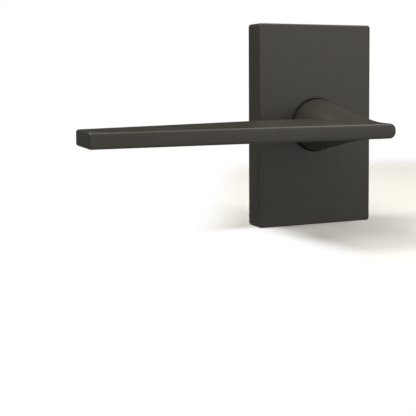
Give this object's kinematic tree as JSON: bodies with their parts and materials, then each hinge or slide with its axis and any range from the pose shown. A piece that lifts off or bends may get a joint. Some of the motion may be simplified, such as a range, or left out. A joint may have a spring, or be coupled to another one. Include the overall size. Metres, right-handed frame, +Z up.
{
  "type": "door lever handle",
  "caption": "Sprung door lever with a flat delta-shaped blade on a round neck, turning in a plain rectangular rosette with a spring housing, through bolts and a square spindle.",
  "frame": {"origin": "on the spindle's axis, in the plane of the door's face that the rosette sits on", "axes": "+Y into the door along the spindle, +Z up, lever pointing to -X when level"},
  "size_m": [0.1624, 0.131, 0.1016],
  "materials": {
    "bronze_finish": "satin dark bronze",
    "plated_steel": "zinc plated",
    "bright_steel": "machined",
    "hardened_steel": "stamped and hardened",
    "spring_steel": "oiled spring steel",
    "black_oxide": "black oxide",
    "acetal": "moulded"
  },
  "bodies": {
    "rosette": {"rosette_cover": "bronze_finish", "cover_grub_screw": "black_oxide", "mounting_plate": "plated_steel", "centring_ring": "acetal", "spring_housing": "black_oxide", "housing_rivets": "plated_steel", "front_bushing": "acetal", "rear_bushing": "acetal", "through_bolts": "plated_steel", "bolt_washers": "plated_steel", "plate_screws": "plated_steel", "return_spring": "spring_steel"},
    "lever": {"lever": "bronze_finish", "lever_grub_screw": "black_oxide", "drive_sleeve": "bright_steel", "drive_cam": "hardened_steel", "thrust_washer": "plated_steel", "spring_washer": "spring_steel", "retaining_ring": "spring_steel", "spindle": "bright_steel"}
  },
  "joints": [
    {"name": "lever_turn", "type": "hinge", "parent": "rosette", "child": "lever", "pos_m": [0, 0, 0], "axis": [0, -1, 0], "range_deg": [-50, 50], "stiffness_Nm_per_rad": 1.6, "springref_deg": -5.61, "deforming": ["return_spring"]}
  ]
}
